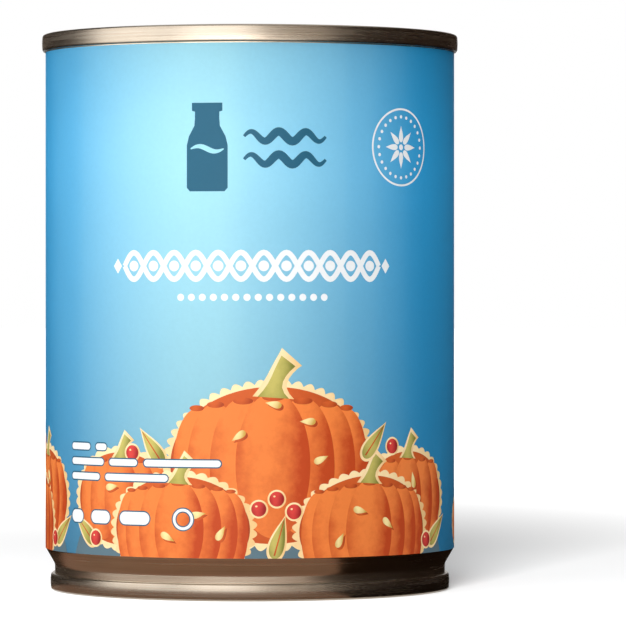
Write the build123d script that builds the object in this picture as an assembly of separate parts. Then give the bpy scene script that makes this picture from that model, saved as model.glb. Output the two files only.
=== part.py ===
from build123d import *
import math
import os

# A tinplate can of evaporated milk, shut, with a paper label glued round it.
# Millimetres. +Z is up, and the origin is the centre of the foot, on the surface it stands on.
# A metal piece is turned about Z from a section drawn with x as the radius and y as the height.
# An end is drawn with its crown at height 0 and the contents below it, and placed afterwards.

# ---- Driving dimensions ----

can_height = 99.2  # over both seams
body_diameter = 73.1  # outside of the metal, under the label
body_sheet = 0.18
end_sheet = 0.22
seam_compound = 0.15  # sealing compound between the body's wall and an end's chuck wall

# Double seams: each is several layers of metal rolled tight, so it is solid
top_seam_height = 3.0
top_seam_overhang = 0.75  # how far the seam stands out past the body
foot_seam_height = 3.0
foot_seam_overhang = 0.78  # how far the seam stands out past the neck
seam_bulge = 0.12  # the middle of a seam's outer wall stands proud of its edges by this
crown_fillet = 0.45  # where a seam's outer wall turns over its crown
bore_fillet = 0.35  # where the crown turns down into the recess
hook_fillet = 0.4  # the rolled edge beside the body

# Necked-in foot: the foot seam of one can stands inside the top seam of the next
stacking_clearance = 0.22
neck_land = 1.6  # straight metal between the foot seam and the shoulder
shoulder_angle = 30.0  # degrees from the vertical
neck_fillet = 1.4
shoulder_fillet = 0.6

# Ends: one pressed sheet each
chuck_wall_angle = 3.0  # degrees from the vertical
top_recess_depth = 4.2  # from the crown down to the floor of the groove
foot_recess_depth = 4.1
groove_width = 1.6  # floor of the groove, before its corners are rounded
groove_fillet = 0.45
panel_rise = 1.1  # from the floor of the groove up to the outer ring of the panel
panel_wall_angle = 8.0  # degrees from the vertical
step_insets = (5.4, 14.4)  # from the panel's edge in to each expansion step
step_drop = 0.4
step_run = 1.2
step_fillet = 0.7

# Label
paper = 0.12
lap_length = 8.0  # where the two ends of the paper are glued over each other, at the back
lap_ramp = 2.0  # where the upper layer climbs over the end of the lower one
label_top_gap = 0.15  # bare metal under the top seam
label_foot_gap = 0.0  # bare metal above the shoulder

# ---- Sizes that follow from those ----

seam_wall = body_sheet + seam_compound + end_sheet  # from the body's outside in to the bore
body_radius = body_diameter / 2
top_seam_radius = body_radius + top_seam_overhang
foot_seam_radius = body_radius - seam_wall - stacking_clearance
neck_radius = foot_seam_radius - foot_seam_overhang
shoulder_tilt = math.radians(shoulder_angle)
neck_top = foot_seam_height + neck_land
shoulder_top = neck_top + (body_radius - neck_radius) / math.tan(shoulder_tilt)
shoulder_end = shoulder_top + shoulder_fillet * math.tan(shoulder_tilt / 2)
body_top = can_height - top_seam_height
label_foot = shoulder_end + label_foot_gap
label_height = body_top - label_top_gap - label_foot


def end_underside(wall_radius, recess_depth):
    """The side of an end's sheet that faces the contents, from above the crown in to the axis.

    The end fits inside a body wall whose outside has wall_radius.
    """
    wall_slope = math.tan(math.radians(chuck_wall_angle))
    panel_slope = math.tan(math.radians(panel_wall_angle))
    floor = -recess_depth - end_sheet
    wall_at_crown = wall_radius - body_sheet - seam_compound
    wall_foot = wall_at_crown + floor * wall_slope
    panel_foot = wall_foot - groove_width - 2 * end_sheet
    panel_edge = panel_foot - panel_rise * panel_slope
    level = floor + panel_rise
    points = [
        (wall_at_crown + end_sheet * wall_slope, end_sheet),
        (wall_foot, floor),
        (panel_foot, floor),
        (panel_edge, level),
    ]
    radii = [groove_fillet + end_sheet, groove_fillet + end_sheet, groove_fillet]
    for inset in step_insets:
        points.append((panel_edge - inset, level))
        level -= step_drop
        points.append((panel_edge - inset - step_run, level))
        radii.extend([step_fillet, step_fillet])
    points.append((0, level))
    return FilletPolyline(*points, radius=radii)


def end_section(underside, seam_radius, seam_height):
    """A pressed end: its sheet of even thickness, hung from its rolled seam."""
    sheet = make_face(offset(underside, end_sheet, side=Side.RIGHT, closed=True))
    edge = seam_radius - seam_bulge
    mid_sheet = (underside @ 0).X - end_sheet / 2
    wall = ThreePointArc((edge, -seam_height), (seam_radius, -seam_height / 2), (edge, 0))
    back = Polyline((edge, 0), (mid_sheet, 0), (mid_sheet, -seam_height), (edge, -seam_height))
    above_crown = Pos(0, end_sheet) * Rectangle(4 * seam_radius, 2 * end_sheet)
    section = sheet + make_face([wall, back]) - above_crown
    section = fillet(section.vertices().group_by(Axis.Y)[-1].sort_by(Axis.X)[-1], crown_fillet)
    section = fillet(section.vertices().group_by(Axis.Y)[-1].sort_by(Axis.X)[0], bore_fillet)
    return fillet(section.vertices().sort_by_distance((edge, -seam_height))[0], hook_fillet)


def room_outside_end(underside):
    """All that an end's sheet keeps the contents out of, out to the body's wall."""
    start, axis_end = underside @ 0, underside @ 1
    lid = Polyline((start.X, start.Y), (0, start.Y), (0, axis_end.Y))
    return make_face([underside, lid])


def at_top(section):
    return Pos(0, can_height) * section


def at_foot(section):
    return mirror(section, Plane.XZ)


def turned(section):
    return revolve(Plane.XZ * section, Axis.Z)


def body_section(top_underside, foot_underside):
    """The body's wall and what fills it, up to the undersides of both ends."""
    outline = FilletPolyline(
        (0, foot_seam_height),
        (neck_radius, foot_seam_height),
        (neck_radius, neck_top),
        (body_radius, shoulder_top),
        (body_radius, body_top),
        (0, body_top),
        radius=[0, 0, neck_fillet, shoulder_fillet, 0, 0],
        close=True,
    )
    top_room = at_top(room_outside_end(top_underside))
    foot_room = at_foot(room_outside_end(foot_underside))
    return make_face(outline) - top_room - foot_room


def label_section():
    """The paper from above: one turn round the body, and a second layer where its ends are glued."""
    one_layer = body_radius + paper
    two_layers = one_layer + paper
    within_paper = body_radius + paper / 2
    half_lap = math.degrees(lap_length / 2 / one_layer)
    lap_end, lap_start = 90 - half_lap, 90 + half_lap
    ramp_foot = lap_start + math.degrees(lap_ramp / one_layer)
    wrap = Circle(one_layer) - Circle(body_radius)
    upper = CenterArc((0, 0), two_layers, lap_end, lap_start - lap_end)
    lower = CenterArc((0, 0), within_paper, lap_end, ramp_foot - lap_end)
    ramp = Line(upper @ 1, Vector(one_layer, 0).rotate(Axis.Z, ramp_foot))
    inside_wrap = Line(ramp @ 1, lower @ 1)
    cut_edge = Line(lower @ 0, upper @ 0)
    return wrap + make_face([upper, ramp, inside_wrap, lower, cut_edge])


top_underside = end_underside(body_radius, top_recess_depth)
foot_underside = end_underside(neck_radius, foot_recess_depth)
top_end = at_top(end_section(top_underside, top_seam_radius, top_seam_height))
bottom_end = at_foot(end_section(foot_underside, foot_seam_radius, foot_seam_height))

nodes = {
    "can_body": turned(body_section(top_underside, foot_underside)),
    "top_end": turned(top_end),
    "bottom_end": turned(bottom_end),
    "label": extrude(Pos(0, 0, label_foot) * label_section(), label_height),
}

os.makedirs("parts", exist_ok=True)
for name, solid in nodes.items():
    export_step(solid, f"parts/{name}.step")
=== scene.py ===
# %% [markdown]
# # A can of evaporated milk
# The metal comes from the CAD frame: a body, and two pressed ends with rolled seams. Blender
# adds what a printer and a lacquer line add: the finish of the metal, the paper label that is
# wrapped round the body, and the inks on it. Everything is in metres, +Z up, and the can's front
# faces -Y.

import math
import random

import bpy
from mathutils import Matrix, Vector
from mathutils.geometry import delaunay_2d_cdt


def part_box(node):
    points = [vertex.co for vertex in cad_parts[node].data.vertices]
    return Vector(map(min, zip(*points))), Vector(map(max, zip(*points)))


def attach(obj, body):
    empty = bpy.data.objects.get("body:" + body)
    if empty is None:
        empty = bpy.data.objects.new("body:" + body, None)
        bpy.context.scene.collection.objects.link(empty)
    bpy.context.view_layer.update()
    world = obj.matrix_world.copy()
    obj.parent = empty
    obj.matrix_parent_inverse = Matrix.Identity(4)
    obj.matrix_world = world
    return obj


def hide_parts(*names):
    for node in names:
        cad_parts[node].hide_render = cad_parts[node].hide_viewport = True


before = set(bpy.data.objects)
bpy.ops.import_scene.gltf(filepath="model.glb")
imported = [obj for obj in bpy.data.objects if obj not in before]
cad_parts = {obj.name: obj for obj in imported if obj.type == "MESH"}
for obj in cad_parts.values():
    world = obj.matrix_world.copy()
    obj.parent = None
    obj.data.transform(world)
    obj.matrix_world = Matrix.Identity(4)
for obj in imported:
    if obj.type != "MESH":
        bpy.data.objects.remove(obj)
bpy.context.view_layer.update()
mm = 0.001

# %% [markdown]
# ## Sizes of the label
# The label's place is read from its CAD node, so that it fits whatever the CAD says. Only what
# belongs to paper and ink is named here. A place on the flat sheet is two numbers: the way round
# the can from the middle of the front, and the height above the table.

# %% Sizes of the label
label_low, label_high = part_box("label")
body_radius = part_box("can_body")[1].x
paper = label_high.x - body_radius
sheet_foot, sheet_head = label_low.z, label_high.z
girth = 2 * math.pi * body_radius
lap_length = 8 * mm
lap_ramp = 2 * mm
ink_lift = 0.02 * mm
sheet_length = girth + lap_length
print(f"paper sheet {sheet_length / mm:.1f} x {(sheet_head - sheet_foot) / mm:.1f} mm")

# %% [markdown]
# ## Bending flat work round the can
# A label is printed flat and wrapped afterwards, so it is modelled the same way. This Geometry
# Nodes tree takes anything drawn flat, with x as the way round and z as the height, and bends it
# round the body. Where the sheet runs over its own end at the back it climbs by one thickness of
# paper. One tree serves the paper and all the inks, and only its inputs differ.

# %% A helper for node trees
def add_node(tree, kind, inputs=(), **settings):
    """Adds a node, sets its properties, and fills or links the inputs given as (name, value)."""
    node = tree.nodes.new(kind)
    for name, value in settings.items():
        setattr(node, name, value)
    for name, value in inputs:
        if isinstance(value, bpy.types.NodeSocket):
            tree.links.new(value, node.inputs[name])
        else:
            node.inputs[name].default_value = value
    return node


def math_node(tree, operation, a, b=0.0):
    return add_node(tree, "ShaderNodeMath", [(0, a), (1, b)], operation=operation).outputs[0]


def add_sockets(tree, direction, sockets):
    for name, kind in sockets:
        tree.interface.new_socket(name, in_out=direction, socket_type=kind)


# %% The bending tree
def make_bend_tree():
    tree = bpy.data.node_groups.new("Bend round the can", "GeometryNodeTree")
    add_sockets(tree, "INPUT", [("Flat work", "NodeSocketGeometry"), ("Radius", "NodeSocketFloat"),
                                ("Sheet end", "NodeSocketFloat"), ("Lap", "NodeSocketFloat"),
                                ("Ramp", "NodeSocketFloat"), ("Paper", "NodeSocketFloat"),
                                ("Lift", "NodeSocketFloat"), ("Material", "NodeSocketMaterial")])
    add_sockets(tree, "OUTPUT", [("Wrapped work", "NodeSocketGeometry")])
    given = add_node(tree, "NodeGroupInput").outputs
    place = add_node(tree, "GeometryNodeInputPosition").outputs[0]
    flat = add_node(tree, "ShaderNodeSeparateXYZ", [(0, place)]).outputs
    climb_end = math_node(tree, "SUBTRACT", given["Sheet end"], given["Lap"])
    climb_start = math_node(tree, "SUBTRACT", climb_end, given["Ramp"])
    climb = add_node(tree, "ShaderNodeMapRange",
                     [("Value", flat["X"]), ("From Min", climb_start), ("From Max", climb_end),
                      ("To Min", 0.0), ("To Max", given["Paper"])],
                     interpolation_type="SMOOTHSTEP").outputs[0]
    lifted = math_node(tree, "ADD", math_node(tree, "ADD", given["Radius"], given["Lift"]), climb)
    out = math_node(tree, "SUBTRACT", lifted, flat["Y"])
    angle = math_node(tree, "DIVIDE", flat["X"], given["Radius"])
    across = math_node(tree, "MULTIPLY", out, math_node(tree, "SINE", angle))
    deep = math_node(tree, "MULTIPLY", out, math_node(tree, "COSINE", angle))
    bent = add_node(tree, "ShaderNodeCombineXYZ",
                    [("X", across), ("Y", math_node(tree, "MULTIPLY", deep, -1.0)),
                     ("Z", flat["Z"])]).outputs[0]
    moved = add_node(tree, "GeometryNodeSetPosition",
                     [("Geometry", given["Flat work"]), ("Position", bent)]).outputs[0]
    smooth = add_node(tree, "GeometryNodeSetShadeSmooth", [("Geometry", moved)]).outputs[0]
    real = add_node(tree, "GeometryNodeRealizeInstances", [("Geometry", smooth)]).outputs[0]
    painted = add_node(tree, "GeometryNodeSetMaterial",
                       [("Geometry", real), ("Material", given["Material"])]).outputs[0]
    add_node(tree, "NodeGroupOutput", [("Wrapped work", painted)])
    return tree


bend_tree = make_bend_tree()
print("tree:", bend_tree.name)


# %% Keeping what a tree makes
def run_tree(piece, tree, values):
    """Puts a tree on a piece, fills its named inputs, and keeps the result as a plain mesh."""
    modifier = piece.modifiers.new(tree.name, "NODES")
    modifier.node_group = tree
    for socket in tree.interface.items_tree:
        if socket.in_out == "INPUT" and socket.name in values:
            modifier[socket.identifier] = values[socket.name]
    bpy.context.view_layer.update()
    ready = piece.evaluated_get(bpy.context.evaluated_depsgraph_get())
    made = bpy.data.meshes.new_from_object(ready, preserve_all_data_layers=True,
                                           depsgraph=bpy.context.evaluated_depsgraph_get())
    piece.modifiers.clear()
    made.name = piece.name
    piece.data = made
    return piece


def bend(piece, material, lift):
    return run_tree(piece, bend_tree, {
        "Radius": body_radius, "Sheet end": sheet_length / 2, "Lap": lap_length, "Ramp": lap_ramp,
        "Paper": paper, "Lift": lift, "Material": material})


def new_piece(name, points, faces):
    mesh = bpy.data.meshes.new(name)
    mesh.from_pydata(points, [], faces)
    piece = bpy.data.objects.new(name, mesh)
    bpy.context.scene.collection.objects.link(piece)
    return piece


# %% [markdown]
# ## Coated paper
# A food label is thin coated paper: smooth and half glossy, with ink that lies a little unevenly
# on the fibres. The unevenness is the same under every ink, so it is a shader node group that
# each ink's material uses with its own colour. The group puts out a colour, a roughness and a
# height, and the Principled shader stays in the material.

# %% The print-on-paper group
def make_print_group():
    group = bpy.data.node_groups.new("Print on coated paper", "ShaderNodeTree")
    add_sockets(group, "INPUT", [("Ink", "NodeSocketColor"), ("Unevenness", "NodeSocketFloat"),
                                 ("Gloss", "NodeSocketFloat")])
    add_sockets(group, "OUTPUT", [("Color", "NodeSocketColor"), ("Roughness", "NodeSocketFloat"),
                                  ("Height", "NodeSocketFloat")])
    given = add_node(group, "NodeGroupInput").outputs
    where = add_node(group, "ShaderNodeTexCoord").outputs["Object"]
    fibre = add_node(group, "ShaderNodeTexNoise",
                     [("Vector", where), ("Scale", 1400.0), ("Detail", 3.0)]).outputs[0]
    cloud = add_node(group, "ShaderNodeTexNoise",
                     [("Vector", where), ("Scale", 90.0), ("Detail", 4.0)]).outputs[0]
    blend = math_node(group, "ADD", math_node(group, "MULTIPLY", fibre, 0.6),
                      math_node(group, "MULTIPLY", cloud, 0.4))
    centred = math_node(group, "MULTIPLY", math_node(group, "SUBTRACT", blend, 0.5),
                        given["Unevenness"])
    value = math_node(group, "ADD", centred, 1.0)
    tone = add_node(group, "ShaderNodeHueSaturation",
                    [("Value", value), ("Color", given["Ink"])]).outputs[0]
    rough = math_node(group, "ADD", given["Gloss"],
                      math_node(group, "MULTIPLY", math_node(group, "SUBTRACT", cloud, 0.5), 0.12))
    add_node(group, "NodeGroupOutput", [("Color", tone), ("Roughness", rough), ("Height", fibre)])
    return group


print_group = make_print_group()
print("group:", print_group.name)


# %% A printed or bare paper surface
def paper_material(name, ink, colour=None, unevenness=0.12, gloss=0.46):
    """A printed or bare paper surface. colour adds nodes that vary the ink and returns a socket."""
    material = bpy.data.materials.new(name)
    material.use_nodes = True
    tree = material.node_tree
    shader = tree.nodes["Principled BSDF"]
    look = add_node(tree, "ShaderNodeGroup", node_tree=print_group)
    look.inputs["Ink"].default_value = (*ink, 1.0)
    look.inputs["Unevenness"].default_value = unevenness
    look.inputs["Gloss"].default_value = gloss
    if colour:
        tree.links.new(colour(tree), look.inputs["Ink"])
    bump = add_node(tree, "ShaderNodeBump",
                    [("Height", look.outputs["Height"]), ("Strength", 0.05), ("Distance", 0.05 * mm)])
    tree.links.new(look.outputs["Color"], shader.inputs["Base Color"])
    tree.links.new(look.outputs["Roughness"], shader.inputs["Roughness"])
    tree.links.new(bump.outputs[0], shader.inputs["Normal"])
    shader.inputs["Specular IOR Level"].default_value = 0.22
    return material


# %% [markdown]
# ## The sky
# The label's ground is a deep sky blue, with painted light in its colour. A colour ramp over the
# azimuth paints a pale highlight in the front, a little left of the middle, and painted shade at the
# sides, deepest on the right. The ink is also painted a little paler towards the head of the label
# and deeper towards its foot.

# %% The sky's ink
# How much painted light pales the sky at each azimuth in degrees, where 0 is the middle of the front.
sky_painted_light = ((-90, 0.05), (-69, 0.2), (-52, 0.41), (-17, 1.0), (0, 0.85), (26, 0.5), (36, 0.33),
            (47, 0.15), (56, 0.05), (90, 0.05))


def sky_with_painted_light(tree):
    """Deep sky blue with painted light: a pale painted highlight in the front, painted shade at the sides.
    """
    where = add_node(tree, "ShaderNodeTexCoord").outputs["Object"]
    part = add_node(tree, "ShaderNodeSeparateXYZ", [(0, where)]).outputs
    azimuth = math_node(tree, "ARCTAN2", part["X"], math_node(tree, "MULTIPLY", part["Y"], -1.0))
    share = add_node(tree, "ShaderNodeMapRange",
                     [("Value", azimuth), ("From Min", -math.pi / 2), ("From Max", math.pi / 2)]).outputs[0]
    glow = add_node(tree, "ShaderNodeValToRGB", [(0, share)])
    ramp = glow.color_ramp
    ramp.interpolation = "CARDINAL"
    for degrees, _ in sky_painted_light[1:-1]:
        ramp.elements.new((degrees + 90) / 180)
    for stop, (_, pale) in zip(ramp.elements, sky_painted_light):
        stop.color = (pale, pale, pale, 1.0)
    # Painted highlight and painted shade: the ramp mixes the deep ink with the pale painted highlight.
    mix = add_node(tree, "ShaderNodeMix",
                   [("Factor", glow.outputs["Color"]), ("A", (*deep_sky, 1.0)), ("B", (*sky_painted_highlight, 1.0))],
                   data_type="RGBA")
    # Painted light: the ink is made paler towards the head of the label and deeper below.
    rise = math_node(tree, "MULTIPLY", math_node(tree, "SUBTRACT", part["Z"], even_height), painted_light_per_metre)
    lighter = add_node(tree, "ShaderNodeHueSaturation",
                       [("Value", math_node(tree, "ADD", rise, 1.0)), ("Color", mix.outputs["Result"])])
    return lighter.outputs[0]


# The deep ink of the sky, and the pale colour of its painted highlight.
deep_sky, sky_painted_highlight = (0.004, 0.275, 0.58), (0.305, 0.61, 0.725)
# Above even_height the ink is painted paler, and below it deeper, as painted light.
even_height, painted_light_per_metre = 60 * mm, 6.4
sky_ink = paper_material("sky_blue_label", deep_sky, sky_with_painted_light)
bare_paper = paper_material("paper_core", (0.86, 0.85, 0.80), gloss=0.7)
print("papers:", sky_ink.name, bare_paper.name)

# %% [markdown]
# ## The paper
# The sheet is drawn flat as a fine grid, bent by the tree, and then given its thickness outwards
# by a Solidify modifier, whose rim takes the white of the paper's core. Its lap is at the back,
# where a labelling machine leaves it.

# %% The paper
def flat_sheet(columns, rows):
    points = [((i / columns - 0.5) * sheet_length, 0, sheet_foot + j / rows * (sheet_head - sheet_foot))
              for i in range(columns + 1) for j in range(rows + 1)]
    tall = rows + 1
    faces = [(i * tall + j, (i + 1) * tall + j, (i + 1) * tall + j + 1, i * tall + j + 1)
             for i in range(columns) for j in range(rows)]
    return points, faces


label = new_piece("paper_label", *flat_sheet(384, 4))
bend(label, sky_ink, 0)
label.data.materials.append(bare_paper)
thickness = label.modifiers.new("Paper thickness", "SOLIDIFY")
thickness.thickness = paper
thickness.offset = 1
thickness.use_rim = True
thickness.material_offset_rim = 1
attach(label, "root")
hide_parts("label")
print("label faces", len(label.data.polygons))

# %% [markdown]
# ## Shapes to print
# Every printed shape is a closed outline on the flat sheet. A few small functions draw them from
# their sizes: ovals, lobed rounds, drops, and ribbons that follow a line.

# %% Outlines
def oval(x, z, half_width, half_height, points=64, lobes=0, depth=0.0, tilt=0.0):
    """An ellipse, or with lobes a scalloped one."""
    outline = []
    for i in range(points):
        t = 2 * math.pi * i / points
        reach = 1 + depth * (abs(math.sin(lobes * t / 2)) - 0.5) if lobes else 1
        a, b = half_width * reach * math.cos(t), half_height * reach * math.sin(t)
        outline.append((x + a * math.cos(tilt) - b * math.sin(tilt),
                        z + a * math.sin(tilt) + b * math.cos(tilt)))
    return outline


def drop(x, z, width, height, tilt=0.0, points=48):
    """A milk drop or a seed: round at one end and pointed at the other."""
    outline = []
    for i in range(points):
        t = 2 * math.pi * i / points
        a = width / 2 * math.sin(t) * math.sin(t / 2) ** 1.5
        b = height / 2 * math.cos(t)
        outline.append((x + a * math.cos(tilt) - b * math.sin(tilt),
                        z + a * math.sin(tilt) + b * math.cos(tilt)))
    return outline


def ribbon(line, widths):
    """A stroke along a line. widths gives its width at the start, the middle and the end."""
    left, right = [], []
    for i, (x, z) in enumerate(line):
        (xa, za), (xb, zb) = line[max(i - 1, 0)], line[min(i + 1, len(line) - 1)]
        run = math.hypot(xb - xa, zb - za)
        t = i / (len(line) - 1)
        width = widths[1] + (widths[0 if t < 0.5 else 2] - widths[1]) * abs(2 * t - 1) ** 2
        nx, nz = -(zb - za) / run * width / 2, (xb - xa) / run * width / 2
        left.append((x + nx, z + nz))
        right.append((x - nx, z - nz))
    return left + right[::-1]

# %% [markdown]
# ## Printing
# Where shapes overlap, the one printed last wins. A constrained Delaunay cut works that out once
# for the whole design: it splits the flat sheet along every outline, and says which shapes hold
# each bit. Each bit goes to the topmost shape's ink, so no two inks lie over each other. Upright
# cuts every degree let the bits follow the can when they are bent, and one level cut runs along
# the foot of the sheet, below which nothing is printed.

# %% The printer
def anticlockwise(outline):
    """The same outline, turned round where needed: the cutter wants all of them one way round."""
    around = sum(a[0] * b[1] - b[0] * a[1] for a, b in zip(outline, outline[1:] + outline[:1]))
    return outline if around > 0 else outline[::-1]


def print_design(shapes):
    """Prints (ink, outline, centre, half size) shapes, bottom one first, as one piece for each ink.

    A shape with no ink leaves the sky bare where it lies.
    """
    points, faces = [], []
    for ink, outline, centre, half in shapes:
        faces.append(list(range(len(points), len(points) + len(outline))))
        points.extend(Vector((u / mm, z / mm)) for u, z in anticlockwise(outline))
    step = girth / mm / 360
    foot = sheet_foot / mm
    first = math.floor(min(p.x for p in points) / step)
    last = math.ceil(max(p.x for p in points) / step)
    cuts = []
    for k in range(first, last + 1):
        cuts.append((len(points), len(points) + 1))
        points.extend((Vector((k * step, foot - 60)), Vector((k * step, sheet_head / mm))))
    cuts.append((len(points), len(points) + 1))
    points.extend((Vector((first * step, foot)), Vector((last * step, foot))))
    flat, _, bits, _, _, owners = delaunay_2d_cdt(points, cuts, faces, 4, 1e-5)
    flat = [p * mm for p in flat]
    by_ink = {}
    for bit, held_by in zip(bits, owners):
        ink = shapes[max(held_by)][0] if held_by else ""
        if ink and sum(flat[v].y for v in bit) / len(bit) > sheet_foot:
            by_ink.setdefault(ink, []).append((bit, max(held_by)))
    made = []
    for ink, inked in by_ink.items():
        used = sorted({v for bit, _ in inked for v in bit})
        place = {v: i for i, v in enumerate(used)}
        piece = new_piece("print_" + ink, [(flat[v].x, 0, flat[v].y) for v in used],
                          [[place[v] for v in bit] for bit, _ in inked])
        form = piece.data.uv_layers.new(name="form")
        for face, (bit, owner) in zip(piece.data.polygons, inked):
            (cx, cz), (hx, hz) = shapes[owner][2:]
            for corner in face.loop_indices:
                at = piece.data.vertices[piece.data.loops[corner].vertex_index].co
                form.data[corner].uv = ((at.x - cx) / hx, (at.z - cz) / hz)
        bend(piece, inks[ink], paper + ink_lift)
        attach(piece, "root")
        made.append(piece)
        print(piece.name, len(piece.data.polygons), "faces")
    return made


def shape(ink, outline):
    """A shape with its own middle and half size, which its ink's material uses for shading."""
    us, zs = [u for u, _ in outline], [z for _, z in outline]
    centre = ((min(us) + max(us)) / 2, (min(zs) + max(zs)) / 2)
    return ink, outline, centre, ((max(us) - min(us)) / 2, (max(zs) - min(zs)) / 2)


# %% [markdown]
# ## Inks that shade
# The harvest band is printed in tones. Each shape's own coordinates, from -1 to 1 across it, come
# with the mesh in the map called form, so one material can shade every rib of every pumpkin:
# pale on the crown of the rib, deep orange towards its edges, and mottled like cooked squash.

# %% The shading group
def make_shade_group():
    group = bpy.data.node_groups.new("Shade across a shape", "ShaderNodeTree")
    add_sockets(group, "INPUT", [("Edge", "NodeSocketColor"), ("Middle", "NodeSocketColor"),
                                 ("Lit side", "NodeSocketFloat"), ("Mottle", "NodeSocketFloat"),
                                 ("Fall", "NodeSocketFloat")])
    add_sockets(group, "OUTPUT", [("Color", "NodeSocketColor")])
    given = add_node(group, "NodeGroupInput").outputs
    form = add_node(group, "ShaderNodeUVMap", uv_map="form").outputs[0]
    along = add_node(group, "ShaderNodeSeparateXYZ", [(0, form)]).outputs
    off_middle = math_node(group, "SUBTRACT", along["X"], given["Lit side"])
    rounding = math_node(group, "POWER", math_node(group, "ABSOLUTE", off_middle), 1.6)
    lower = math_node(group, "MULTIPLY", math_node(group, "MULTIPLY", along["Y"], -1.0), given["Fall"])
    where = add_node(group, "ShaderNodeTexCoord").outputs["Object"]
    cloud = add_node(group, "ShaderNodeTexNoise",
                     [("Vector", where), ("Scale", 420.0), ("Detail", 5.0), ("Roughness", 0.62)]).outputs[0]
    spots = math_node(group, "MULTIPLY", math_node(group, "SUBTRACT", cloud, 0.5), given["Mottle"])
    share = math_node(group, "ADD", math_node(group, "ADD", rounding, lower), spots)
    tone = add_node(group, "ShaderNodeMix",
                    [("Factor", share), ("A", given["Middle"]), ("B", given["Edge"])],
                    data_type="RGBA").outputs["Result"]
    add_node(group, "NodeGroupOutput", [("Color", tone)])
    return group


shade_group = make_shade_group()
print("group:", shade_group.name)


# %% An ink that shades
def shaded_ink(name, edge, middle, lit_side=-0.25, mottle=0.8, fall=0.22):
    """An ink that is lightest along the middle of each shape, and mottled."""
    def colour(tree):
        shade = add_node(tree, "ShaderNodeGroup", node_tree=shade_group)
        shade.inputs["Edge"].default_value = (*edge, 1.0)
        shade.inputs["Middle"].default_value = (*middle, 1.0)
        shade.inputs["Lit side"].default_value = lit_side
        shade.inputs["Mottle"].default_value = mottle
        shade.inputs["Fall"].default_value = fall
        return shade.outputs["Color"]
    return paper_material(name, middle, colour)


# %% The inks
inks = {
    "cream": shaded_ink("cream_ink", edge=(0.84, 0.55, 0.24), middle=(0.97, 0.75, 0.42)),
    "orange": shaded_ink("orange_ink", edge=(0.5, 0.055, 0.006), middle=(0.84, 0.215, 0.042),
                         mottle=1.1),
    "crease": shaded_ink("crease_ink", edge=(0.38, 0.045, 0.006), middle=(0.6, 0.1, 0.015)),
    "olive": shaded_ink("olive_ink", edge=(0.2, 0.2, 0.03), middle=(0.55, 0.47, 0.12)),
    "seed": shaded_ink("seed_ink", edge=(0.6, 0.36, 0.07), middle=(0.9, 0.74, 0.34)),
    "berry": shaded_ink("berry_ink", edge=(0.3, 0.008, 0.01), middle=(0.66, 0.05, 0.04)),
    "slate": paper_material("slate_ink", (0.10, 0.17, 0.21)),
    "white": paper_material("white_ink", (0.82, 0.84, 0.85)),
    "navy": paper_material("navy_ink", (0.012, 0.1, 0.17)),
}
print("inks:", ", ".join(inks))

# %% [markdown]
# ## The harvest band
# Ribbed pumpkins stand in a heap along the foot of the label. A pumpkin is built as a printer's
# cut-out: a scalloped cream border, a dark ground, and ribs laid from the sides in to the middle,
# so that each nearer rib covers part of the one behind it. A stalk stands on top.

# %% A pumpkin
def pumpkin(x, z, width, height, ribs=3, border=0.9 * mm):
    """A ribbed pumpkin centred at x, z, with ribs on each side of its middle one."""
    half_w, half_h = width / 2, height / 2
    lobes = 2 * round(math.pi * (half_w + half_h) / (3.6 * mm))
    made = [shape("cream", oval(x, z, half_w + border, half_h + border, points=12 * lobes,
                                lobes=lobes, depth=0.055)),
            shape("crease", oval(x, z, half_w, half_h, points=96))]
    for k in range(ribs, -1, -1):
        for side in ((-1, 1) if k else (0,)):
            reach = math.sin(math.pi / 2 * k / (ribs + 0.6))
            rib_w = half_w * (0.36 - 0.04 * k)
            rib_h = half_h * (0.93 - 0.05 * k)
            at = x + side * (half_w - rib_w) * reach
            made.append(shape("orange", oval(at, z - 0.01 * height * k, rib_w, rib_h, points=56)))
            made.append(shape("crease", oval(at, z + rib_h * 0.93, rib_w * 0.3, rib_h * 0.05, points=20)))
    stalk = [(x + 0.09 * width * t ** 2, z + half_h * 0.86 + 0.26 * height * t)
             for t in (0, 0.15, 0.3, 0.45, 0.6, 0.75, 0.9, 1)]
    made.append(shape("cream", ribbon(stalk, (0.2 * width, 0.1 * width, 0.13 * width))))
    made.append(shape("olive", ribbon(stalk[:-1], (0.15 * width, 0.06 * width, 0.085 * width))))
    return made


# %% [markdown]
# ## Leaves, berries and seeds
# Loose pieces fill the gaps between the pumpkins. Each is two or three shapes on top of each
# other: a pale edge or a shadow, the body, and a midrib or a glint.

# %% Loose pieces
def leaf(x, z, length, tilt):
    """A pointed leaf with a pale edge and a dark midrib."""
    axis = [(x + s * length * math.cos(tilt), z + s * length * math.sin(tilt))
            for s in (-0.42, -0.2, 0, 0.2, 0.42)]
    return [shape("cream", drop(x, z, 0.62 * length, 1.12 * length, tilt - math.pi / 2)),
            shape("olive", drop(x, z, 0.48 * length, 0.98 * length, tilt - math.pi / 2)),
            shape("crease", ribbon(axis, (0.3 * mm, 0.22 * mm, 0.12 * mm)))]


def berry(x, z, size):
    """A round berry with a pale edge and a glint."""
    return [shape("cream", oval(x, z, size * 0.62, size * 0.62, 28)),
            shape("berry", oval(x, z, size * 0.5, size * 0.5, 28)),
            shape("cream", oval(x - size * 0.16, z + size * 0.18, size * 0.08, size * 0.06, 12))]


def seed(x, z, length, tilt):
    """A pumpkin seed and the shadow under it."""
    return [shape("crease", drop(x + 0.12 * length, z - 0.12 * length, 0.62 * length, length, tilt)),
            shape("seed", drop(x, z, 0.6 * length, length, tilt))]


# %% [markdown]
# ## A heap
# Both heaps, in front and at the side, are the same arrangement with the seeds turned another
# way. Places are in millimetres from the middle of the heap's foot.

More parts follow.
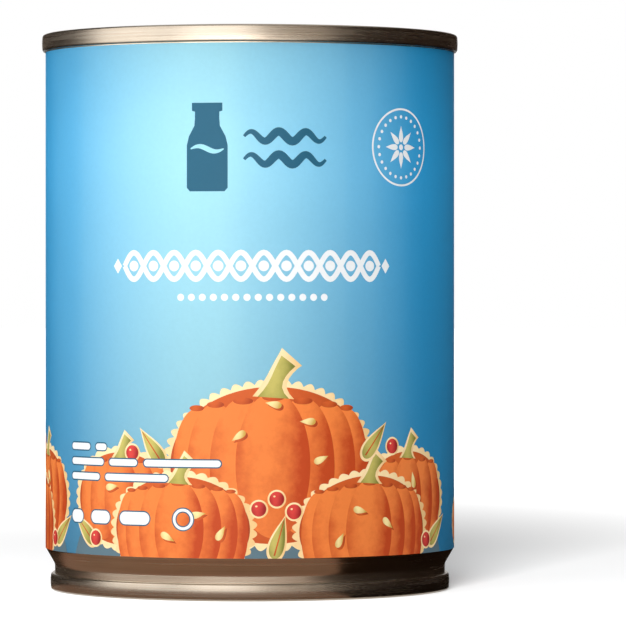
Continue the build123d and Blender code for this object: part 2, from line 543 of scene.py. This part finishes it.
# %% A heap
heap_half_width, heap_rise = 39 * mm, 15 * mm
heap_pumpkins = ((-27, 10, 21, 16, 2), (28, 9.5, 22, 17, 2), (1, 16, 36, 27, 3),
                 (-15.5, 5, 25, 18, 3), (19, 4.5, 27, 19, 3))
heap_leaves = ((-36, 4.5, 2.4), (37.5, 4, 0.7), (2, 3.5, 1.3), (-20.5, 19, 2.2), (20, 20, 0.9))
heap_berries = ((-1.5, 8.5), (1.6, 10.2), (4.6, 8), (-33, 3), (33.5, 2.4), (-24.5, 18), (24, 19))
heap_seeds = ((-12, 7.5), (-17.5, 3.5), (-8, 4.4), (17, 8), (23, 5.6), (13, 3), (-5, 21),
              (7, 23.5), (1, 26.5), (-29, 12), (29.5, 13), (9.5, 17))
leaf_length, berry_size, seed_length = 7.5 * mm, 2.6 * mm, 2.9 * mm


def hill(x_from, x_to, height):
    """The dark ground that the pumpkins stand in."""
    steps = 60
    crest = [(x_from + (x_to - x_from) * i / steps,
              sheet_foot + height * math.sin(math.pi * i / steps) ** 0.55) for i in range(steps + 1)]
    return [shape("slate", crest + [(x_to, sheet_foot - mm), (x_from, sheet_foot - mm)])]


def harvest_group(x, seeded):
    """One heap: five pumpkins, the two nearest in front, with its loose pieces."""
    chance = random.Random(seeded)
    made = hill(x - heap_half_width, x + heap_half_width, heap_rise)
    for u, z, width, height, ribs in heap_pumpkins:
        made += pumpkin(x + u * mm, sheet_foot + z * mm, width * mm, height * mm, ribs)
    for u, z, tilt in heap_leaves:
        made += leaf(x + u * mm, sheet_foot + z * mm, leaf_length, tilt)
    for u, z in heap_berries:
        made += berry(x + u * mm, sheet_foot + z * mm, berry_size)
    for u, z in heap_seeds:
        made += seed(x + u * mm, sheet_foot + z * mm, seed_length, chance.uniform(-2.6, 2.6))
    return made


front = harvest_group(3 * mm, seeded=4)
print("shapes in one heap:", len(front))

# %% [markdown]
# ## Ornaments
# The rest of the label is ornament in flat ink, drawn from lines and rounds. The widest is a band
# of two waving strokes that cross, across the middle of the front.

# %% Rings and the twisted band
def ring(ink, x, z, radius, width):
    """A thin ring, as two half circles that run a little over each other."""
    made = []
    for start in (0, math.pi):
        turns = [start + (i - 1) / 46 * math.pi for i in range(49)]
        line = [(x + radius * math.cos(t), z + radius * math.sin(t)) for t in turns]
        made.append(shape(ink, ribbon(line, (width,) * 3)))
    return made


def twisted_band(x, z, length, height, turns, stroke=0.95 * mm):
    """Two waving strokes that cross, with a bead in each eye and a diamond at each end."""
    made = []
    steps = 24 * turns
    for sign in (1, -1):
        swing = sign * height / 2
        line = [(x + (i / steps - 0.5) * length, z + swing * math.sin(2 * math.pi * turns * i / steps))
                for i in range(steps + 1)]
        made.append(shape("white", ribbon(line, (stroke,) * 3)))
    for k in range(2 * turns):
        eye = x + ((k + 0.5) / (2 * turns) - 0.5) * length
        made.append(shape("white", oval(eye, z, 0.2 * height, 0.2 * height, 24)))
    for side in (-1, 1):
        tip = x + side * (length / 2 + 1.5 * mm)
        made.append(shape("white", [(tip - 0.9 * mm, z), (tip, z - 1.3 * mm), (tip + 0.9 * mm, z),
                                    (tip, z + 1.3 * mm)]))
    return made


# %% [markdown]
# ## Badge and bottle
# A round badge with a flower stands at the right. A milk bottle with two waves stands in the
# middle, as the sign of what is in the can.

# %% Badge
def badge(x, z, radius):
    """A ring with a ring of beads and a many-petalled flower in it."""
    made = ring("white", x, z, radius - 0.17 * mm, 0.34 * mm)
    for k in range(24):
        t = 2 * math.pi * k / 24
        reach = radius - 1.5 * mm
        made.append(shape("white", oval(x + reach * math.cos(t), z + reach * math.sin(t),
                                        0.3 * mm, 0.3 * mm, 12)))
    for k in range(8):
        t = 2 * math.pi * k / 8
        reach = 0.34 * radius
        made.append(shape("white", drop(x + reach * math.cos(t), z + reach * math.sin(t),
                                        1.5 * mm, 2.9 * mm, t - math.pi / 2)))
    made.append(shape("", oval(x, z, 0.85 * mm, 0.85 * mm, 24)))
    made.append(shape("white", oval(x, z, 0.5 * mm, 0.5 * mm, 24)))
    return made


# %% Bottle and waves
def bottle_emblem(x, z, height):
    """A round-shouldered milk bottle with a waved fill line, and two waves beside it."""
    neck, body, foot = 0.14 * height, 0.235 * height, -0.5 * height
    side = [(body, foot + 0.04 * height), (body, 0.02 * height), (0.9 * body, 0.12 * height),
            (1.05 * neck, 0.24 * height), (neck, 0.32 * height), (neck, 0.40 * height),
            (1.25 * neck, 0.41 * height), (1.25 * neck, 0.5 * height)]
    right = [(x + a, z + b) for a, b in side]
    left = [(x - a, z + b) for a, b in reversed(side)]
    made = [shape("navy", right + left + [(x - 0.85 * body, z + foot), (x + 0.85 * body, z + foot)])]
    fill_line = z - 0.02 * height
    wave = [(x + (i / 24 - 0.5) * 1.62 * body, fill_line + 0.03 * height * math.sin(i / 24 * 2 * math.pi))
            for i in range(25)]
    made.append(shape("", ribbon(wave, (0.2 * mm, 0.9 * mm, 0.2 * mm))))
    start, end = 0.42 * height, 1.36 * height
    for row in (0, 1):
        level = z + (0.12 - 0.26 * row) * height
        line = [(x + start + (end - start) * i / 60,
                 level + 0.055 * height * math.sin(i / 60 * 6 * math.pi)) for i in range(61)]
        made.append(shape("navy", ribbon(line, (0.5 * mm, 1.5 * mm, 0.5 * mm))))
    return made


# %% [markdown]
# ## In place of small print
# A real label has lines of small print. This one has none, so round-ended dashes stand in their
# place in front, and ruled panels at the back.

# %% Dashes and ruled panels
def capsule(start, end, z, height):
    """A bar with round ends."""
    half = height / 2
    right = [(end - half + half * math.cos(t * math.pi / 10), z + half * math.sin(t * math.pi / 10))
             for t in range(-5, 6)]
    left = [(start + half - half * math.cos(t * math.pi / 10), z - half * math.sin(t * math.pi / 10))
            for t in range(-5, 6)]
    return right + left


def dashes(z, runs, height):
    """A row of round-ended dashes with dark edges. runs gives where each starts and ends, in mm."""
    edge = 0.22 * mm
    made = []
    for start, end in runs:
        made.append(shape("navy", capsule(start * mm - edge, end * mm + edge, z, height + 2 * edge)))
        made.append(shape("white", capsule(start * mm, end * mm, z, height)))
    return made


def ruled_panel(x, z, width, height, rows):
    """A white panel with ruled lines and marks in place of small print."""
    half_w, half_h = width / 2, height / 2
    corners = [(x - half_w, z - half_h), (x + half_w, z - half_h), (x + half_w, z + half_h),
               (x - half_w, z + half_h)]
    made = [shape("white", corners)]
    chance = random.Random(11)
    margin, mark_height = 1.2 * mm, 0.8 * mm
    for k in range(rows):
        level = z + half_h - (k + 0.8) * height / rows
        thick = 0.9 * mm if k in (0, rows - 4) else 0.22 * mm
        made.append(shape("navy", capsule(x - half_w + margin, x + half_w - margin, level, thick)))
        if k:
            start = x - half_w + 1.6 * mm
            end = start + chance.uniform(0.25, 0.6) * width
            above = level + 0.42 * height / rows
            made.append(shape("navy", capsule(start, end, above, mark_height)))
            made.append(shape("navy", capsule(x + half_w - 5 * mm, x + half_w - 1.8 * mm, above,
                                              mark_height)))
    return made


# %% [markdown]
# ## Everything in its place
# The front, the dashes and the ornaments are laid over the side's heap and panels, and the whole
# design goes to the printer at once.

# %% The whole design
ornaments = (bottle_emblem(-7.4 * mm, 78.1 * mm, 15.2 * mm)
             + twisted_band(0.4 * mm, 57.7 * mm, 47 * mm, 4.6 * mm, 6)
             + badge(29.2 * mm, 78.4 * mm, 6.8 * mm))
small_dash = 1.15 * mm
notes = (dashes(26.3 * mm, ((-37, -31.5), (-30, -27.3)), small_dash)
         + dashes(23.7 * mm, ((-37, -28), (-26.6, -20.5), (-19.1, -5)), small_dash)
         + dashes(21.1 * mm, ((-37, -29), (-27.6, -14.5)), small_dash)
         + dashes(14.1 * mm, ((-37, -33.5), (-31.2, -26.5), (-24.2, -18)), 2.2 * mm)
         + ring("navy", -11.7 * mm, 14.1 * mm, 1.6 * mm, 0.9 * mm)
         + ring("white", -11.7 * mm, 14.1 * mm, 1.6 * mm, 0.5 * mm))
sides = (harvest_group(-78 * mm, seeded=9)
         + ruled_panel(78 * mm, 57 * mm, 42 * mm, 62 * mm, rows=15)
         + ruled_panel(-78 * mm, 68 * mm, 40 * mm, 26 * mm, rows=7))
for u in (56, 67, 78, 89, 100):
    sides += pumpkin(u * mm, sheet_foot + 5 * mm, 10 * mm, 8 * mm, ribs=2, border=0.6 * mm)
print_design(sides + front + notes + ornaments)

# %% [markdown]
# ## A row of beads
# Under the band runs a row of beads. They are all alike, so a second Geometry Nodes tree sets
# them out: a line of points, a small disc on each, and then the bending tree wraps the row.

# %% The bead tree
def make_bead_tree():
    tree = bpy.data.node_groups.new("Row of beads", "GeometryNodeTree")
    add_sockets(tree, "INPUT", [("Flat work", "NodeSocketGeometry"), ("Count", "NodeSocketInt"),
                                ("Start", "NodeSocketFloat"), ("Pitch", "NodeSocketFloat"),
                                ("Height", "NodeSocketFloat"), ("Bead radius", "NodeSocketFloat"),
                                ("Material", "NodeSocketMaterial")])
    add_sockets(tree, "OUTPUT", [("Row", "NodeSocketGeometry")])
    given = add_node(tree, "NodeGroupInput").outputs
    start = add_node(tree, "ShaderNodeCombineXYZ",
                     [("X", given["Start"]), ("Z", given["Height"])]).outputs[0]
    pitch = add_node(tree, "ShaderNodeCombineXYZ", [("X", given["Pitch"])]).outputs[0]
    row = add_node(tree, "GeometryNodeMeshLine",
                   [("Count", given["Count"]), ("Start Location", start), ("Offset", pitch)]).outputs[0]
    disc = add_node(tree, "GeometryNodeMeshCircle",
                    [("Vertices", 28), ("Radius", given["Bead radius"])], fill_type="NGON").outputs[0]
    upright = add_node(tree, "GeometryNodeTransform",
                       [("Geometry", disc), ("Rotation", (math.pi / 2, 0, 0))]).outputs[0]
    beads = add_node(tree, "GeometryNodeInstanceOnPoints",
                     [("Points", row), ("Instance", upright)]).outputs[0]
    real = add_node(tree, "GeometryNodeRealizeInstances", [("Geometry", beads)]).outputs[0]
    painted = add_node(tree, "GeometryNodeSetMaterial",
                       [("Geometry", real), ("Material", given["Material"])]).outputs[0]
    add_node(tree, "NodeGroupOutput", [("Row", painted)])
    return tree


bead_tree = make_bead_tree()
print("tree:", bead_tree.name)

# %% The row of beads
bead_count, bead_pitch = 14, 1.93 * mm
row_middle = 0.45 * mm
beads = new_piece("bead_row", [], [])
run_tree(beads, bead_tree, {
    "Count": bead_count, "Start": row_middle - (bead_count - 1) / 2 * bead_pitch, "Pitch": bead_pitch,
    "Height": 52.3 * mm, "Bead radius": 0.62 * mm, "Material": inks["white"]})
bend(beads, inks["white"], paper + ink_lift)
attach(beads, "root")
print("beads", len(beads.data.polygons))

# %% [markdown]
# ## Finish of the metal
# The can is tinplate under a thin gold lacquer, which turns bright steel to pale bronze. The
# sheet was rolled and the seams were spun, so fine streaks run round the can. Streaks stretch a
# highlight across them, which is what a Principled shader's anisotropy does, with its tangent
# running round Z. The streaks themselves are noise that reads the radius and the height, and hardly
# the turn, so each runs nearly all the way round. A little cloudy noise breaks them up.

# %% The spun-metal group
def make_metal_group():
    group = bpy.data.node_groups.new("Spun lacquered metal", "ShaderNodeTree")
    add_sockets(group, "INPUT", [("Lacquer", "NodeSocketColor"), ("Stain", "NodeSocketColor"),
                                 ("Satin", "NodeSocketFloat")])
    add_sockets(group, "OUTPUT", [("Color", "NodeSocketColor"), ("Roughness", "NodeSocketFloat"),
                                  ("Height", "NodeSocketFloat")])
    given = add_node(group, "NodeGroupInput").outputs
    where = add_node(group, "ShaderNodeTexCoord").outputs["Object"]
    part = add_node(group, "ShaderNodeSeparateXYZ", [(0, where)]).outputs
    flat = add_node(group, "ShaderNodeCombineXYZ", [("X", part["X"]), ("Y", part["Y"])]).outputs[0]
    radius = add_node(group, "ShaderNodeVectorMath", [(0, flat)], operation="LENGTH").outputs["Value"]
    turn = math_node(group, "ARCTAN2", part["Y"], part["X"])
    bend_round = math_node(group, "MULTIPLY", math_node(group, "SINE", turn), 0.0012)
    ring = add_node(group, "ShaderNodeCombineXYZ",
                    [("X", radius), ("Y", bend_round), ("Z", part["Z"])]).outputs[0]
    streak = add_node(group, "ShaderNodeTexNoise",
                      [("Vector", ring), ("Scale", 2600.0), ("Detail", 3.0)]).outputs[0]
    broad = add_node(group, "ShaderNodeTexNoise",
                     [("Vector", ring), ("Scale", 700.0), ("Detail", 2.0)]).outputs[0]
    cloud = add_node(group, "ShaderNodeTexNoise",
                     [("Vector", where), ("Scale", 160.0), ("Detail", 4.0)]).outputs[0]
    lines = math_node(group, "ADD", math_node(group, "MULTIPLY", streak, 0.55),
                      math_node(group, "MULTIPLY", broad, 0.45))
    mixed = add_node(group, "ShaderNodeMapRange",
                     [("Value", math_node(group, "ADD", math_node(group, "MULTIPLY", lines, 0.85),
                                          math_node(group, "MULTIPLY", cloud, 0.15))),
                      ("From Min", 0.35), ("From Max", 0.65)]).outputs[0]
    colour = add_node(group, "ShaderNodeMix",
                      [("Factor", mixed), ("A", given["Stain"]), ("B", given["Lacquer"])],
                      data_type="RGBA").outputs["Result"]
    rough = math_node(group, "ADD", given["Satin"],
                      math_node(group, "MULTIPLY", math_node(group, "SUBTRACT", lines, 0.5), 0.25))
    add_node(group, "NodeGroupOutput", [("Color", colour), ("Roughness", rough), ("Height", lines)])
    return group


metal_group = make_metal_group()
print("group:", metal_group.name)


# %% The lacquered ends and body
def metal_material(name, lacquer, stain, satin):
    material = bpy.data.materials.new(name)
    material.use_nodes = True
    tree = material.node_tree
    shader = tree.nodes["Principled BSDF"]
    look = add_node(tree, "ShaderNodeGroup", node_tree=metal_group)
    look.inputs["Lacquer"].default_value = (*lacquer, 1.0)
    look.inputs["Stain"].default_value = (*stain, 1.0)
    look.inputs["Satin"].default_value = satin
    bump = add_node(tree, "ShaderNodeBump",
                    [("Height", look.outputs["Height"]), ("Strength", 0.25), ("Distance", 0.02 * mm)])
    tangent = add_node(tree, "ShaderNodeTangent", direction_type="RADIAL", axis="Z")
    tree.links.new(look.outputs["Color"], shader.inputs["Base Color"])
    tree.links.new(look.outputs["Roughness"], shader.inputs["Roughness"])
    tree.links.new(bump.outputs[0], shader.inputs["Normal"])
    tree.links.new(tangent.outputs[0], shader.inputs["Tangent"])
    shader.inputs["Metallic"].default_value = 1.0
    shader.inputs["Anisotropic"].default_value = 0.65
    return material


end_metal = metal_material("end_lacquer", (0.41, 0.352, 0.285), (0.29, 0.243, 0.19), 0.27)
body_metal = metal_material("body_lacquer", (0.55, 0.463, 0.364), (0.42, 0.343, 0.26), 0.25)
for node, finish in (("top_end", end_metal), ("bottom_end", end_metal), ("can_body", body_metal)):
    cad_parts[node].data.materials[0] = finish
    print(node, "has", finish.name)

# %% [markdown]
# ## Floor
# The can stands on a plain white floor. A lit floor is never quite white all over, so this one
# also glows a little where it is seen or mirrored: faintly by the can, where the shadow has to
# show, and fully further away. The glow lights nothing.

# %% Floor
glow_near, glow_far = 0.12, 0.5
least_glow = 0.2


def backdrop_material(name, colour):
    """A surface that the camera and reflections see as white, with the shadows that fall on it."""
    material = bpy.data.materials.new(name)
    material.use_nodes = True
    tree = material.node_tree
    shader = tree.nodes["Principled BSDF"]
    shader.inputs["Base Color"].default_value = (*colour, 1.0)
    shader.inputs["Roughness"].default_value = 0.9
    shader.inputs["Specular IOR Level"].default_value = 0.0
    seen = add_node(tree, "ShaderNodeLightPath").outputs
    shown = math_node(tree, "ADD", math_node(tree, "ADD", seen["Is Camera Ray"], seen["Is Glossy Ray"]),
                      seen["Is Transmission Ray"])
    shader.inputs["Emission Color"].default_value = (1, 1, 1, 1)
    where = add_node(tree, "ShaderNodeTexCoord").outputs["Object"]
    away = add_node(tree, "ShaderNodeVectorMath", [(0, where)], operation="LENGTH").outputs["Value"]
    whiter = add_node(tree, "ShaderNodeMapRange",
                      [("Value", away), ("From Min", glow_near), ("From Max", glow_far),
                       ("To Min", least_glow), ("To Max", 1.0)], interpolation_type="SMOOTHSTEP").outputs[0]
    tree.links.new(math_node(tree, "MULTIPLY", shown, whiter), shader.inputs["Emission Strength"])
    return material


floor_half = 6.0
corners = [(-floor_half, -floor_half, 0), (floor_half, -floor_half, 0), (floor_half, floor_half, 0),
           (-floor_half, floor_half, 0)]
floor = new_piece("floor", corners, [(0, 1, 2, 3)])
floor.data.materials.append(backdrop_material("floor_white", (0.8, 0.8, 0.8)))
print("floor", 2 * floor_half, "m wide")

# %% [markdown]
# ## Lamps
# A broad lamp in front makes the long soft highlight down the can, and a second one lights it from
# the left. A third lamp lights the floor alone, through light linking: it keeps the floor white
# and lays the can's shadow on it, without a hard highlight on the metal.

# %% Lamps
aim_height = 0.05


def facing(azimuth, distance, height):
    """A point round the can. Azimuth 0 is in front of it and positive is to its right."""
    a = math.radians(azimuth)
    return Vector((distance * math.sin(a), -distance * math.cos(a), height))


def soft_light(name, azimuth, distance, height, width, tall, power):
    lamp = bpy.data.lights.new(name, "AREA")
    lamp.shape = "RECTANGLE"
    lamp.size, lamp.size_y = width, tall
    lamp.energy = power
    holder = bpy.data.objects.new(name, lamp)
    bpy.context.scene.collection.objects.link(holder)
    holder.location = facing(azimuth, distance, height)
    aim = Vector((0, 0, aim_height)) - holder.location
    holder.rotation_euler = aim.to_track_quat("-Z", "Y").to_euler()
    holder.visible_camera = False
    return holder


soft_light("front", -12, 1.2, 0.32, 1.3, 1.2, 11.0)
soft_light("side", -70, 1.0, 0.30, 0.8, 1.0, 4.5)
floor_lamp = soft_light("floor_lamp", -8, 1.25, 0.37, 0.38, 0.3, 40)
floor_lamp.visible_glossy = False
lit_by_floor_lamp = bpy.data.collections.new("lit by the floor lamp")
lit_by_floor_lamp.objects.link(floor)
floor_lamp.light_linking.receiver_collection = lit_by_floor_lamp

# %% [markdown]
# ## Cards
# Metal only looks like metal when it has something dark to reflect as well. Curved cards stand
# round the can, and flat ones lie at its foot. They show in reflections only, so they cast no
# shadow and light nothing.

# %% Card material
def card_material(name, tone):
    material = bpy.data.materials.new(name)
    material.use_nodes = True
    shader = material.node_tree.nodes["Principled BSDF"]
    shader.inputs["Base Color"].default_value = (*tone, 1.0)
    shader.inputs["Roughness"].default_value = 1.0
    shader.inputs["Specular IOR Level"].default_value = 0.0
    return material


# %% Cards
def only_reflected(card):
    card.visible_camera = card.visible_diffuse = card.visible_shadow = False
    card.visible_transmission = card.visible_volume_scatter = False
    return card


def dark_wall(name, start, end, distance, top, tone):
    """A curved card between two azimuths, which only reflections see."""
    steps = 24
    points = []
    for i in range(steps + 1):
        at = facing(start + (end - start) * i / steps, distance, 0)
        points += [(at.x, at.y, 0.001), (at.x, at.y, top)]
    card = new_piece(name, points, [(2 * i, 2 * i + 2, 2 * i + 3, 2 * i + 1) for i in range(steps)])
    card.data.materials.append(card_material(name, tone))
    return only_reflected(card)


def dark_floor(name, start, end, height, inner, outer, tone):
    """A flat card on the floor between two azimuths, which only reflections see."""
    steps = 64
    points = []
    for i in range(steps + 1):
        for distance in (inner, outer):
            points.append(tuple(facing(start + (end - start) * i / steps, distance, height)))
    card = new_piece(name, points, [(2 * i, 2 * i + 1, 2 * i + 3, 2 * i + 2) for i in range(steps)])
    card.data.materials.append(card_material(name, tone))
    return only_reflected(card)


dark_wall("wall_front_right", 4, 46, 0.72, 1.0, (0.7, 0.62, 0.54))
dark_wall("wall_right", 46, 165, 0.7, 1.0, (0.05, 0.03, 0.02))
dark_wall("wall_left", -98, -165, 0.7, 1.0, (0.05, 0.03, 0.02))
foot_clear = 35.9 * mm
dark_floor("floor_ring", 0, 360, 0.1 * mm, foot_clear, 0.11, (0.58, 0.39, 0.29))
dark_floor("floor_right", 30, 200, 0.2 * mm, foot_clear, 0.75, (0.03, 0.015, 0.008))
dark_floor("floor_left", -90, -160, 0.2 * mm, foot_clear, 0.75, (0.04, 0.025, 0.015))
print("cards: three walls and three on the floor")

# %% [markdown]
# ## White all round
# What is not floor is white to the eye and in reflections. As a light it is dimmer, so that the
# lamps shape the can.

# %% World

world = bpy.data.worlds.new("studio")
world.use_nodes = True
bpy.context.scene.world = world
sky = world.node_tree
background = sky.nodes["Background"]
background.inputs["Color"].default_value = (1, 1, 1, 1)
path = add_node(sky, "ShaderNodeLightPath").outputs
seen_directly = math_node(sky, "ADD", math_node(sky, "ADD", path["Is Camera Ray"], path["Is Glossy Ray"]),
                          path["Is Transmission Ray"])
ambient = 0.25
strength = math_node(sky, "ADD", ambient, math_node(sky, "MULTIPLY", seen_directly, 1 - ambient))
sky.links.new(strength, background.inputs["Strength"])

# %% [markdown]
# ## Camera
# A long lens from most of a metre away, at half the can's height, keeps the can's sides nearly
# upright. The can stands left of the middle, so that its shadow has room.

# %% Camera
camera = bpy.data.objects.new("camera", bpy.data.cameras.new("camera"))
bpy.context.scene.collection.objects.link(camera)
camera.data.sensor_width = 36
camera.data.lens = 257.2
camera_distance, camera_height = 0.804, 0.0529
camera.location = (0, -camera_distance, camera_height)
turn_right, tilt_down = math.radians(0.807), math.radians(0.246)
camera.rotation_euler = (math.pi / 2 - tilt_down, 0, -turn_right)
bpy.context.scene.camera = camera
bpy.context.scene.view_settings.view_transform = "Standard"
print("lens", camera.data.lens, "mm")
